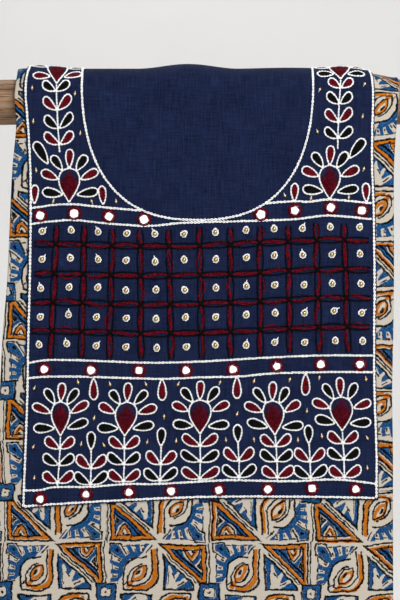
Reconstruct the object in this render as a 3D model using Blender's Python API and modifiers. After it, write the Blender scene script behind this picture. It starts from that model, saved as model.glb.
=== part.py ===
"""A kalamkari cloth folded in three, hung over a round wooden bar, with an embroidered yoke panel on it.

The bar runs along X, from its left end face at the origin. The cloth hangs over it: -Y is the front.
Everything on the cloth is placed by two lengths:
  across  X measured from the cloth's middle,
  down    the length along the outer cloth from the crest over the bar, positive down the front.
"""
from math import cos, pi, radians, sin

import bmesh
import bpy
from mathutils import Vector

# The bar
BAR_LENGTH = 0.600
BAR_RADIUS = 0.0235
BAR_SIDES = 64

# The cloths
CLOTH_MIDDLE = BAR_LENGTH / 2
CLOTH_THICKNESS = 0.0012
SEAT_GAP = 0.0005            # between the bar and the innermost layer
PANEL_GAP = 0.0003           # between the kalamkari cloth and the yoke panel
CREST_SPACING = 0.0036       # between the middles of neighbouring layers over the bar
HANG_SPACING = 0.0022        # the same, where the layers hang
OUTER_RADIUS = 0.0345        # of the outer cloth over the bar, which the lengths down are measured on
QUARTER = OUTER_RADIUS * pi / 2
CREST_REACH = 0.085          # how far down the layers take to close from one spacing to the other

# The hems: the length down where each is shortest, where that lies across, and its bow to both sides
HEMS = {
    "front_hem": {"down": 0.5950, "shortest_at": 0.070, "bow": 0.110},
    "panel_hem": {"down": 0.4546, "shortest_at": 0.070, "bow": 0.167},
    "panel_back_hem": {"down": -0.1650, "shortest_at": 0.000, "bow": -0.060},
    "back_hem": {"down": -0.5560, "shortest_at": -0.040, "bow": -0.080},
}

# Where the folded layers end, across
INNER_FOLD = 0.160           # the fold between the middle and the innermost layer
INNER_EDGE_INSET = 0.010     # the innermost layer's free edge, from the outer fold
FLAP_START = 0.160           # from here the outer layer slopes down to the bar
FLAT_STRIP = 0.0065          # the strip that lies flat on the bar, beside its free edge

# The outlines: how far across each edge lies at each length down
EDGE_COLUMNS = ("down", "cloth_left", "panel_left", "panel_right", "cloth_right")
EDGES = (
    (-0.600, -0.1930, -0.1750, 0.1770, 0.1945),
    (-0.160, -0.1890, -0.1735, 0.1760, 0.1950),
    (-0.054, -0.1875, -0.1755, 0.1765, 0.1985),
    (0.000, -0.1850, -0.1740, 0.1725, 0.1998),
    (0.020, -0.1840, -0.1755, 0.1745, 0.2003),
    (0.036, -0.1848, -0.1772, 0.1752, 0.2003),
    (0.054, -0.1858, -0.1770, 0.1755, 0.1998),
    (0.080, -0.1840, -0.1750, 0.1748, 0.1975),
    (0.120, -0.1876, -0.1728, 0.1745, 0.1950),
    (0.160, -0.1897, -0.1723, 0.1760, 0.1948),
    (0.235, -0.1930, -0.1732, 0.1770, 0.1948),
    (0.290, -0.1975, -0.1745, 0.1765, 0.1941),
    (0.345, -0.2005, -0.1755, 0.1768, 0.1930),
    (0.410, -0.2045, -0.1777, 0.1790, 0.1938),
    (0.460, -0.2075, -0.1795, 0.1790, 0.1940),
    (0.610, -0.2165, -0.1820, 0.1790, 0.1945),
)

# Loose air under the outer layer along the crest, as (middle across, half width, height)
PUFFS = (
    (-0.160, 0.045, 0.0028),
    (-0.012, 0.052, 0.0048),
    (0.090, 0.060, 0.0010),
    (0.145, 0.030, 0.0020),
)

# Soft waves that push the hanging cloth out and in, as (depth, length across, lean, phase)
WAVES = (
    (0.0011, 0.230, 0.35, 0.4),
    (0.0008, 0.160, -0.55, 2.1),
)
WAVE_START = 0.070
WAVE_FULL = 0.330

# The rows of points down the cloth and the columns across it
FRONT_ROWS = ("front_hem", 0.555, 0.505, "panel_hem", 0.410, 0.360, 0.310, 0.260, 0.210, 0.160, 0.120, 0.085)
CREST_STEP_DEG = 15
BACK_ROWS = (-0.085, -0.125, "panel_back_hem", -0.220, -0.300, -0.380, -0.460, "back_hem")
COLUMN_PITCH = 0.020
OUTER_COLUMN = 0.160
INNER_LAYER_COLUMNS = 9
FOLD_ANGLES = (45, 90, 135)

# The mirrors, in three bands of eight
MIRROR_RADIUS = 0.0052
MIRROR_THICKNESS = 0.0010
MIRROR_GAP = 0.0004
MIRROR_SIDES = 12
MIRROR_BANDS = {
    "upper": {
        "across": (-0.160, -0.126, -0.091, -0.056, 0.061, 0.095, 0.131, 0.162),
        "down": (0.171, 0.169, 0.172, 0.175, 0.170, 0.166, 0.163, 0.166),
    },
    "middle": {
        "across": (-0.156, -0.109, -0.061, -0.014, 0.033, 0.077, 0.121, 0.160),
        "down": (0.325, 0.326, 0.326, 0.326, 0.325, 0.322, 0.320, 0.320),
    },
    "lower": {
        "across": (-0.160, -0.114, -0.071, -0.029, 0.019, 0.068, 0.112, 0.156),
        "down": (0.455, 0.450, 0.448, 0.447, 0.446, 0.445, 0.444, 0.445),
    },
}

# Colour, roughness and metallic value of each material
FINISHES = {
    "weathered_wood": ((0.23, 0.145, 0.085), 0.70, 0.0),
    "kalamkari_cotton": ((0.56, 0.50, 0.40), 0.90, 0.0),
    "navy_cotton": ((0.012, 0.020, 0.055), 0.90, 0.0),
    "mirror_glass": ((0.85, 0.86, 0.87), 0.08, 1.0),
}


def ease(value, start, end):
    """Rise smoothly from 0 at start to 1 at end."""
    share = min(max((value - start) / (end - start), 0.0), 1.0)
    return share * share * (3.0 - 2.0 * share)


def edge(name, down):
    """How far across the named edge lies at a length down."""
    column = EDGE_COLUMNS.index(name)
    for above, below in zip(EDGES, EDGES[1:]):
        if down <= below[0]:
            share = max((down - above[0]) / (below[0] - above[0]), 0.0)
            return above[column] + share * (below[column] - above[column])
    return EDGES[-1][column]


def row_down(row, across):
    """The length down of a row at a place across: a hem bows a little, and any other row is even."""
    if row not in HEMS:
        return row
    hem = HEMS[row]
    return hem["down"] + hem["bow"] * (across - hem["shortest_at"]) ** 2


def crest_weight(down):
    """1 over the bar, falling to 0 where the layers hang close together."""
    return 1.0 - ease(abs(down), 0.0, CREST_REACH)


def puff(across):
    """Height of the loose air under the outer layer."""
    total = 0.0
    for middle, half_width, height in PUFFS:
        share = min(abs(across - middle) / half_width, 1.0)
        total += height * 0.5 * (1.0 + cos(pi * share))
    return total


def wave(across, down):
    """How far the hanging cloth stands out from a plain fall."""
    total = 0.0
    for depth, length_across, lean, phase in WAVES:
        total += depth * sin(2.0 * pi * (across + lean * down) / length_across + phase)
    return total * ease(abs(down), WAVE_START, WAVE_FULL)


def flap(across, down):
    """How far the outer layer has come down to the bar beside its free right edge: 0 is up and 1 is down."""
    landed = edge("cloth_right", down) - FLAT_STRIP
    return min(max((across - FLAP_START) / (landed - FLAP_START), 0.0), 1.0)


def layer_height(layer, across, down):
    """Height of a layer's middle over the bar: 0 is the innermost layer and 2 the outer one."""
    resting = SEAT_GAP + CLOTH_THICKNESS / 2
    weight = crest_weight(down)
    spacing = HANG_SPACING + (CREST_SPACING - HANG_SPACING) * weight
    height = resting + layer * spacing + puff(across) * weight * layer / 2
    if layer == 2:
        height += (resting - height) * flap(across, down)
    return height


def place(across, down, height):
    """The point at a height over the bar: round its top, then straight down."""
    turned = min(max(down, -QUARTER), QUARTER) / OUTER_RADIUS
    reach = BAR_RADIUS + height
    fallen = max(abs(down) - QUARTER, 0.0)
    side = -1.0 if down > 0.0 else 1.0
    return Vector((
        CLOTH_MIDDLE + across,
        -reach * sin(turned) + side * wave(across, down),
        reach * cos(turned) - fallen,
    ))


def rows_between(first, last):
    """The rows from one named hem to another, over the crest."""
    crest = [OUTER_RADIUS * radians(angle) for angle in range(90, -91, -CREST_STEP_DEG)]
    rows = [*FRONT_ROWS, *crest, *BACK_ROWS]
    return rows[rows.index(first):rows.index(last) + 1]


def outer_columns():
    """The evenly spaced columns of the outer layer, from right to left."""
    count = round(2 * OUTER_COLUMN / COLUMN_PITCH)
    return [OUTER_COLUMN - COLUMN_PITCH * step for step in range(count + 1)]


def fold_points(middle_across, first_layer, second_layer, side, down):
    """The points round a fold between two layers, on the side given by a sign."""
    first = layer_height(first_layer, middle_across, down)
    second = layer_height(second_layer, middle_across, down)
    middle, radius = (first + second) / 2, (first - second) / 2
    return [
        (middle_across + side * radius * sin(radians(angle)), middle + radius * cos(radians(angle)))
        for angle in FOLD_ANGLES
    ]


def folded_section(down):
    """The back-and-forth section of the three layers, as points (across, height)."""
    left = edge("cloth_left", down)
    fold_radius = (layer_height(2, left, down) - layer_height(1, left, down)) / 2
    left_fold = left + fold_radius
    right = edge("cloth_right", down)
    outer = [right, right - FLAT_STRIP, edge("panel_right", down), *outer_columns()]
    outer += [edge("panel_left", down), left_fold]
    steps = [step / (INNER_LAYER_COLUMNS - 1) for step in range(INNER_LAYER_COLUMNS)]
    free_edge = left + INNER_EDGE_INSET
    middle = [left_fold + step * (INNER_FOLD - left_fold) for step in steps]
    inner = [INNER_FOLD + step * (free_edge - INNER_FOLD) for step in steps]
    return (
        [(across, layer_height(2, across, down)) for across in outer]
        + fold_points(left_fold, 2, 1, -1, down)
        + [(across, layer_height(1, across, down)) for across in middle]
        + fold_points(INNER_FOLD, 1, 0, 1, down)
        + [(across, layer_height(0, across, down)) for across in inner]
    )


def panel_section(down):
    """The yoke panel's section, which lies on the outer layer."""
    columns = [edge("panel_right", down), *outer_columns(), edge("panel_left", down)]
    lift = CLOTH_THICKNESS + PANEL_GAP
    return [(across, layer_height(2, across, down) + lift) for across in columns]


def sheet_rows(section, first, last):
    """The points of a sheet, row by row from its front hem to its back hem."""
    return [
        [place(across, row_down(row, across), height) for across, height in section(row_down(row, 0.0))]
        for row in rows_between(first, last)
    ]


def material(name):
    """The named finish as a Principled material."""
    colour, roughness, metallic = FINISHES[name]
    made = bpy.data.materials.new(name)
    made.use_nodes = True
    shader = made.node_tree.nodes["Principled BSDF"]
    shader.inputs["Base Color"].default_value = (*colour, 1.0)
    shader.inputs["Roughness"].default_value = roughness
    shader.inputs["Metallic"].default_value = metallic
    made.diffuse_color = (*colour, 1.0)
    return made


def sheet(name, rows, finish, collection):
    """A cloth: an open grid through the rows of points, given its thickness by Solidify."""
    grid = bmesh.new()
    points = [[grid.verts.new(point) for point in row] for row in rows]
    for upper, lower in zip(points, points[1:]):
        for a, b, c, d in zip(upper, upper[1:], lower[1:], lower):
            grid.faces.new((a, b, c, d))
    grid.normal_update()
    mesh = bpy.data.meshes.new(name)
    grid.to_mesh(mesh)
    grid.free()
    mesh.shade_smooth()
    cloth = bpy.data.objects.new(name, mesh)
    mesh.materials.append(finish)
    collection.objects.link(cloth)
    solidify = cloth.modifiers.new("thickness", "SOLIDIFY")
    solidify.thickness = CLOTH_THICKNESS
    solidify.offset = 0.0
    solidify.use_even_offset = True
    return cloth


def adopt(name, finish, collection):
    """Name the object just added, give it a material and move it to the part's collection."""
    added = bpy.context.object
    added.name = name
    added.data.name = name
    added.data.materials.append(finish)
    for home in list(added.users_collection):
        home.objects.unlink(added)
    collection.objects.link(added)
    return added


def bar(finish, collection):
    """The plain round bar along X."""
    bpy.ops.mesh.primitive_cylinder_add(
        vertices=BAR_SIDES, radius=BAR_RADIUS, depth=BAR_LENGTH,
        location=(BAR_LENGTH / 2, 0.0, 0.0), rotation=(0.0, pi / 2, 0.0))
    pole = adopt("bar", finish, collection)
    pole.data.shade_smooth()
    pole.data.set_sharp_from_angle(angle=radians(40))


def mirror(name, across, down, finish, collection):
    """A small round mirror that lies just over the panel, facing the way the panel does there."""
    panel_face = layer_height(2, across, down) + 1.5 * CLOTH_THICKNESS + PANEL_GAP
    seat = place(across, down, panel_face)
    step = 0.004
    to_right = place(across + step, down, panel_face) - place(across - step, down, panel_face)
    to_foot = place(across, down + step, panel_face) - place(across, down - step, panel_face)
    outward = to_right.cross(-to_foot).normalized()
    bpy.ops.mesh.primitive_cylinder_add(
        vertices=MIRROR_SIDES, radius=MIRROR_RADIUS, depth=MIRROR_THICKNESS,
        location=seat + outward * (MIRROR_GAP + MIRROR_THICKNESS / 2),
        rotation=outward.to_track_quat("Z", "Y").to_euler())
    adopt(name, finish, collection)


def main():
    for old in list(bpy.data.objects):
        bpy.data.objects.remove(old)
    part = bpy.data.collections.new("embroidered_kalamkari_cloth")
    bpy.context.scene.collection.children.link(part)
    finishes = {name: material(name) for name in FINISHES}

    bar(finishes["weathered_wood"], part)
    cloth_rows = sheet_rows(folded_section, "front_hem", "back_hem")
    sheet("kalamkari_cloth", cloth_rows, finishes["kalamkari_cotton"], part)
    panel_rows = sheet_rows(panel_section, "panel_hem", "panel_back_hem")
    sheet("yoke_panel", panel_rows, finishes["navy_cotton"], part)
    for band, places in MIRROR_BANDS.items():
        for number, (across, down) in enumerate(zip(places["across"], places["down"]), 1):
            mirror(f"mirror_{band}_{number}", across, down, finishes["mirror_glass"], part)


main()
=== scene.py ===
from math import cos, hypot, pi, radians, sin
from random import Random

import bpy
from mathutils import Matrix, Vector


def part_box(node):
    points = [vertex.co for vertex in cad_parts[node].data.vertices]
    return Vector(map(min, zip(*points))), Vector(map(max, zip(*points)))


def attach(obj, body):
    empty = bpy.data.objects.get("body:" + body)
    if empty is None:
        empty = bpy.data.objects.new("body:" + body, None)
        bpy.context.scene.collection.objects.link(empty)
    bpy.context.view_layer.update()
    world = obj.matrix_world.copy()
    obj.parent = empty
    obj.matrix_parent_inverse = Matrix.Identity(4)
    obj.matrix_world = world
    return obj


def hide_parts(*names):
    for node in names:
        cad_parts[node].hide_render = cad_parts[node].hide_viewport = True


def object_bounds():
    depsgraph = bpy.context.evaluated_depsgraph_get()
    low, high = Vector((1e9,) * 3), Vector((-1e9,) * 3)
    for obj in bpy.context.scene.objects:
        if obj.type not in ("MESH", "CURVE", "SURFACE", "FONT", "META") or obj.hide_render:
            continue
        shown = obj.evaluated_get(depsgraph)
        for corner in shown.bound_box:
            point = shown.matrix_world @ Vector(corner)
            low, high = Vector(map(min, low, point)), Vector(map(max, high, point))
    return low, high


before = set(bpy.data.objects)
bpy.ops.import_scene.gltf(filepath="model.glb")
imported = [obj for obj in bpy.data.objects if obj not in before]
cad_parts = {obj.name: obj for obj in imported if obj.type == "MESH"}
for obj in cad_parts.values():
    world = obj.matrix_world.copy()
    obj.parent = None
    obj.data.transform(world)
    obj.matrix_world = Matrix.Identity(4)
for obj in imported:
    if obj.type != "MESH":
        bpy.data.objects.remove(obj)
cad_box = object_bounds()

# --- The drape: the same shape as the solids', in the same two lengths ---
# across is X from the cloth's middle, down is the length from the crest, positive down the front.
MM = 0.001
BAR_LOW, BAR_HIGH = (Vector(corner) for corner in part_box("bar"))
BAR_LENGTH = BAR_HIGH.x - BAR_LOW.x
BAR_RADIUS = (BAR_HIGH.z - BAR_LOW.z) / 2
CLOTH_MIDDLE = (BAR_LOW.x + BAR_HIGH.x) / 2

SOLID_THICKNESS = 0.0012
SHEET_THICKNESS = 0.0008
SEAT_GAP = 0.0005
PANEL_LIFT = 0.0015          # the panel's middle over the outer layer's middle
CREST_SPACING = 0.0036
HANG_SPACING = 0.0022
OUTER_RADIUS = 0.0345
QUARTER = OUTER_RADIUS * pi / 2
CREST_REACH = 0.085
HEM_BLEND = 0.05             # the length over which the rows take up a hem's bow
HEMS = {
    "front_hem": {"down": 0.5950, "shortest_at": 0.070, "bow": 0.110},
    "panel_hem": {"down": 0.4546, "shortest_at": 0.070, "bow": 0.167},
    "panel_back_hem": {"down": -0.1650, "shortest_at": 0.000, "bow": -0.060},
    "back_hem": {"down": -0.5560, "shortest_at": -0.040, "bow": -0.080},
}
INNER_FOLD = 0.160
INNER_EDGE_INSET = 0.010
FLAP_START = 0.160
FLAT_STRIP = 0.0065
EDGE_COLUMNS = ("down", "cloth_left", "panel_left", "panel_right", "cloth_right")
EDGES = (
    (-0.600, -0.1930, -0.1750, 0.1770, 0.1945),
    (-0.160, -0.1890, -0.1735, 0.1760, 0.1950),
    (-0.054, -0.1875, -0.1755, 0.1765, 0.1985),
    (0.000, -0.1850, -0.1740, 0.1725, 0.1998),
    (0.020, -0.1840, -0.1755, 0.1745, 0.2003),
    (0.036, -0.1848, -0.1772, 0.1752, 0.2003),
    (0.054, -0.1858, -0.1770, 0.1755, 0.1998),
    (0.080, -0.1840, -0.1750, 0.1748, 0.1975),
    (0.120, -0.1876, -0.1728, 0.1745, 0.1950),
    (0.160, -0.1897, -0.1723, 0.1760, 0.1948),
    (0.235, -0.1930, -0.1732, 0.1770, 0.1948),
    (0.290, -0.1975, -0.1745, 0.1765, 0.1941),
    (0.345, -0.2005, -0.1755, 0.1768, 0.1930),
    (0.410, -0.2045, -0.1777, 0.1790, 0.1938),
    (0.460, -0.2075, -0.1795, 0.1790, 0.1940),
    (0.610, -0.2165, -0.1820, 0.1790, 0.1945),
)
# Loose air under the outer layer: (middle across, half width, height)
PUFFS = ((-0.160, 0.045, 0.0028), (-0.012, 0.052, 0.0048), (0.090, 0.060, 0.0010), (0.145, 0.030, 0.0020))
# Waves of the hanging cloth: (depth, length across, lean, phase)
WAVES = ((0.0011, 0.230, 0.35, 0.4), (0.0008, 0.160, -0.55, 2.1))
WAVE_START, WAVE_FULL = 0.070, 0.330
# Small soft creases in the panel and the cloth under it:
# (across, down, half width, half length, depth, lean)
CREASES = (
    (-0.035, 0.075, 0.007, 0.060, 0.0005, 0.03),
    (0.018, 0.090, 0.006, 0.075, 0.0004, -0.02),
    (0.052, 0.065, 0.008, 0.050, 0.0005, 0.05),
    (-0.080, 0.060, 0.006, 0.050, 0.0003, 0.02),
    (0.085, 0.080, 0.005, 0.040, 0.0003, -0.04),
    (-0.020, 0.145, 0.020, 0.012, 0.0004, 0.00),
    (0.060, 0.505, 0.012, 0.060, 0.0006, 0.10),
    (-0.110, 0.530, 0.014, 0.060, 0.0007, -0.12),
    (0.150, 0.545, 0.010, 0.050, 0.0005, 0.05),
)


def ease(value, start, end):
    """Rise smoothly from 0 at start to 1 at end."""
    share = min(max((value - start) / (end - start), 0.0), 1.0)
    return share * share * (3.0 - 2.0 * share)


def spaced(start, end, count):
    """Values evenly spaced from start to end, with both of them."""
    return [start + (end - start) * step / (count - 1) for step in range(count)]


def edge_slopes():
    """The slope of each edge at each row of the table, for a smooth edge through its rows."""
    slopes = []
    for index in range(len(EDGES)):
        above, below = EDGES[max(index - 1, 0)], EDGES[min(index + 1, len(EDGES) - 1)]
        slopes.append([(low - high) / (below[0] - above[0]) for high, low in zip(above, below)])
    return slopes


SLOPES = edge_slopes()


def edge(name, down):
    """How far across the named edge lies at a length down, on a smooth line through the table."""
    column = EDGE_COLUMNS.index(name)
    down = min(max(down, EDGES[0][0]), EDGES[-1][0])
    index = next(i for i in range(1, len(EDGES)) if down <= EDGES[i][0])
    above, below = EDGES[index - 1], EDGES[index]
    run = below[0] - above[0]
    share = (down - above[0]) / run
    leave = share * (1.0 - share) ** 2 * run * SLOPES[index - 1][column]
    arrive = share * share * (share - 1.0) * run * SLOPES[index][column]
    return above[column] + ease(share, 0.0, 1.0) * (below[column] - above[column]) + leave + arrive


def hem_down(name, across):
    """The length down of a bowed hem at a place across."""
    hem = HEMS[name]
    return hem["down"] + hem["bow"] * (across - hem["shortest_at"]) ** 2


def hem_shift(name, across, down):
    """How much lower a place in a straight row lies, so that the rows near a hem follow its bow."""
    hem = HEMS[name]["down"]
    side = 1.0 if hem > 0.0 else -1.0
    return (hem_down(name, across) - hem) * ease(side * down, side * hem - HEM_BLEND, side * hem)


def crest_weight(down):
    """1 over the bar, falling to 0 where the layers hang close together."""
    return 1.0 - ease(abs(down), 0.0, CREST_REACH)


def puff(across):
    """Height of the loose air under the outer layer."""
    total = 0.0
    for middle, half_width, height in PUFFS:
        share = min(abs(across - middle) / half_width, 1.0)
        total += height * 0.5 * (1.0 + cos(pi * share))
    return total


def wave(across, down):
    """How far the hanging cloth stands out from a plain fall."""
    total = 0.0
    for depth, length_across, lean, phase in WAVES:
        total += depth * sin(2.0 * pi * (across + lean * down) / length_across + phase)
    return total * ease(abs(down), WAVE_START, WAVE_FULL)


def crease(across, down):
    """The small soft creases, as ridges with a trough beside each."""
    total = 0.0
    for middle, low, half_width, half_length, depth, lean in CREASES:
        side = (across - middle - lean * (down - low)) / half_width
        along = (down - low) / half_length
        if abs(side) < 2.0 and abs(along) < 1.0:
            fade = (1.0 - along * along) ** 2
            total += depth * fade * cos(side * pi / 2) * (1.0 - abs(side) / 2.0)
    return total


def flap(across, down):
    """How far the outer layer has come down to the bar beside its free right edge: 0 is up and 1 is down."""
    landed = edge("cloth_right", down) - FLAT_STRIP
    return min(max((across - FLAP_START) / (landed - FLAP_START), 0.0), 1.0)


def layer_height(layer, across, down):
    """Height of a layer's middle over the bar: 0 is the innermost layer and 2 the outer one."""
    resting = SEAT_GAP + SOLID_THICKNESS / 2
    weight = crest_weight(down)
    spacing = HANG_SPACING + (CREST_SPACING - HANG_SPACING) * weight
    height = resting + layer * spacing + puff(across) * weight * layer / 2
    if layer == 2:
        height += (resting - height) * flap(across, down)
        height += crease(across, down)
    return height


def place(across, down, height):
    """The point at a height over the bar: round its top, then straight down."""
    turned = min(max(down, -QUARTER), QUARTER) / OUTER_RADIUS
    reach = BAR_RADIUS + height
    fallen = max(abs(down) - QUARTER, 0.0)
    side = -1.0 if down > 0.0 else 1.0
    depth = -reach * sin(turned) + side * wave(across, down)
    return Vector((CLOTH_MIDDLE + across, depth, reach * cos(turned) - fallen))


def panel_point(across, down):
    """The point on the panel's outer face."""
    return place(across, down, layer_height(2, across, down) + PANEL_LIFT + SHEET_THICKNESS / 2)


def panel_frame(across, down):
    """The place on the panel, with its rightward, upward and outward directions there."""
    step = 0.001
    middle = panel_point(across, down)
    right = (panel_point(across + step, down) - middle).normalized()
    upward = (panel_point(across, down - step) - middle).normalized()
    outward = right.cross(upward).normalized()
    return middle, right, outward.cross(right), outward


# --- Shader building ---
class Field:
    """A number that varies over a surface: a shader socket that can be reckoned with."""

    def __init__(self, tree, socket):
        self.tree, self.socket = tree, socket

    def reckon(self, operation, *others, clamp=False):
        node = self.tree.nodes.new("ShaderNodeMath")
        node.operation = operation
        node.use_clamp = clamp
        for slot, value in zip(node.inputs, (self, *others)):
            if isinstance(value, Field):
                self.tree.links.new(value.socket, slot)
            else:
                slot.default_value = value
        return Field(self.tree, node.outputs[0])

    def __add__(self, other):
        return self.reckon("ADD", other)

    def __sub__(self, other):
        return self.reckon("SUBTRACT", other)

    def __mul__(self, other):
        return self.reckon("MULTIPLY", other)

    def __neg__(self):
        return self * -1.0

    def __rsub__(self, other):
        return -self + other

    def size(self):
        return self.reckon("ABSOLUTE")

    def at_least(self, other):
        return self.reckon("MAXIMUM", other)

    def at_most(self, other):
        return self.reckon("MINIMUM", other)

    def root_of_squares(self, other):
        return (self * self + other * other).reckon("SQRT")

    def wrapped(self, length):
        return self.reckon("WRAP", length / 2, -length / 2)

    def clamped(self):
        """Kept from 0 to 1."""
        return self.reckon("ADD", 0.0, clamp=True)


# A shape is a field that is negative inside it.
def join(first, *others):
    """Inside any of the shapes."""
    for other in others:
        first = first.at_most(other)
    return first


def meet(first, *others):
    """Inside all of the shapes."""
    for other in others:
        first = first.at_least(other)
    return first


def between(field, low, high):
    """Inside where the field lies between two values."""
    return meet(low - field, field - high)


def line(field, half_width):
    """A line along the field's zero."""
    return field.size() - half_width


def cover(shape, softness):
    """1 inside a shape and 0 outside it, with an edge of the given softness."""
    return shape.reckon("MULTIPLY_ADD", -1.0 / softness, 0.5, clamp=True)


class Finish:
    """A material under construction, with short ways to its nodes; places are in millimetres."""

    def __init__(self, name):
        self.material = bpy.data.materials.new(name)
        self.material.use_nodes = True
        self.tree = self.material.node_tree
        self.shader = self.tree.nodes["Principled BSDF"]

    def feed(self, slot, value):
        if isinstance(value, Field):
            value = value.socket
        if isinstance(value, bpy.types.NodeSocket):
            self.tree.links.new(value, slot)
        else:
            slot.default_value = value

    def set(self, **values):
        """Set inputs of the Principled shader: spaces in a name are written as underscores."""
        for name, value in values.items():
            self.feed(self.shader.inputs[name.replace("_", " ")], value)

    def node(self, kind, inputs=(), **settings):
        made = self.tree.nodes.new(kind)
        for name, value in settings.items():
            setattr(made, name, value)
        for name, value in dict(inputs).items():
            self.feed(made.inputs[name], value)
        return made

    def vector(self, operation, first, second):
        """The outputs of one step of vector arithmetic."""
        return self.node("ShaderNodeVectorMath", {0: first, 1: second}, operation=operation).outputs

    def scaled(self, vector, factors):
        return self.vector("MULTIPLY", vector, factors)[0]

    def moved(self, vector, offset):
        return self.vector("ADD", vector, offset)[0]

    def distance(self, vector, spot):
        return Field(self.tree, self.vector("DISTANCE", vector, spot)["Value"])

    def cloth_place(self):
        """Across and down on the cloth, as one vector."""
        return self.scaled(self.node("ShaderNodeUVMap", uv_map="cloth").outputs[0], (1.0 / MM,) * 3)

    def object_place(self):
        return self.scaled(self.node("ShaderNodeTexCoord").outputs["Object"], (1.0 / MM,) * 3)

    def noise(self, vector, scale, detail=2.0, roughness=0.5, colour=False):
        made = self.node("ShaderNodeTexNoise", {
            "Vector": vector, "Scale": scale, "Detail": detail, "Roughness": roughness})
        return made.outputs["Color"] if colour else Field(self.tree, made.outputs[0])

    def across_and_down(self, vector):
        made = self.node("ShaderNodeSeparateXYZ", {0: vector})
        return Field(self.tree, made.outputs[0]), Field(self.tree, made.outputs[1])

    def mix(self, share, first, second, blend="MIX"):
        """A mix of two colours: inputs 0, 6 and 7 are the node's factor and its two colours."""
        tones = [tone if isinstance(tone, bpy.types.NodeSocket) else (*tone, 1.0) for tone in (first, second)]
        return self.node("ShaderNodeMix", {0: share, 6: tones[0], 7: tones[1]},
                         data_type="RGBA", blend_type=blend).outputs[2]

    def bump(self, height, distance, strength):
        inputs = {"Height": height, "Distance": distance, "Strength": strength}
        return self.node("ShaderNodeBump", inputs).outputs[0]

    def weave(self, where, pitch):
        """Plain weave, from 0 to 1: yarns a pitch apart pass over and under each other."""
        across, down = self.across_and_down(where)
        warp, weft = ((field * (pi / pitch)).reckon("SINE") for field in (across, down))
        return (warp * weft) * 0.5 + 0.5


# --- The block print, in millimetres: one star at the middle of each block, four quarters round it ---
# The block looks the same turned half round, so its shapes are drawn above the star only:
# on the left a big triangle with an arch, a slanting band and a small triangle;
# on the right a drop-shaped leaf on a stem, with rays round it.
BLOCK_WIDTH, BLOCK_HEIGHT = 102.7, 101.0
STAR_ACROSS, STAR_DOWN = -145.0, 498.2
GROUND = (0.500, 0.448, 0.378)
BLUE, DEEP_BLUE = (0.0012, 0.0690, 0.2080), (0.0007, 0.0290, 0.1000)
ORANGE, DEEP_ORANGE = (0.460, 0.143, 0.0042), (0.340, 0.082, 0.0026)
OVERPRINT = (0.0080, 0.0200, 0.0120)
BLACK = (0.0015, 0.0013, 0.0013)
WEAVE_PITCH = 0.62

HYPOTENUSE = (0.97, 1.0)          # the direction out through the big triangle's long side
BIG_CORNER = (-47.7, 2.4)         # the big triangle's right angle
BIG_TOP = 42.5                    # where its far point is cut off
BIG_POINT = (-6.0, 6.0)           # on its long side, next to the star
SMALL_CORNER = (-4.6, 47.6)       # the small triangle's right angle
SMALL_POINT = (-4.6, 12.6)        # its point next to the star
SMALL_END = -36.5                 # where its far point is cut off
CLEAR_TOP = 41.0                  # the straight lines and the rays stop here, below the corner square
# The small triangle's ragged white shapes: (start, end, radius, end radius)
FINGERS = (
    ((-10.9, 24.0), (-13.6, 44.0), 1.4, 5.4),
    ((-20.4, 31.0), (-14.5, 39.0), 1.6, 3.4),
    ((-28.2, 38.6), (-16.0, 45.0), 2.2, 2.8),
    ((-14.0, 41.0), (-16.0, 51.0), 4.8, 4.2),
)
WEDGE_BACK, WEDGE_POINT = -43.4, (-36.6, 23.0)
ARCH_MIDDLE = (-34.0, 4.6)
ARCH_SPLAY = 8.8                  # how far the centres of the arch's two sides lie from its middle
PRINTED_LEAF = {"middle": (17.3, 32.6), "half": (16.6, 16.8), "round": 16.2, "sharp": 2.6}
INNER_LEAF = {"middle": (17.6, 33.6), "half": (11.4, 11.2)}
EYE = {"middle": (17.8, 32.3), "half_length": 10.8, "half_width": 5.6, "lean": 52.0, "rim": 3.4}
KITE_ANGLE = radians(-46.4)       # the broad ray, which points to the block's corner
FIRST_RAY = radians(22.5)         # from the broad ray to the thin one on either side
RAY_STEP = radians(17.5)
RAYS_FROM = radians(13.7)         # the thin rays start this far from the broad one's middle
RAY_BOX = (46.2, 2.6)
RAY_SLANT = (-10.5, 9.0)
SQUARE_REACH = 9.3                # half the square that sits on the block's corner
STROKE = 0.98                     # half the width of a black line


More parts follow.
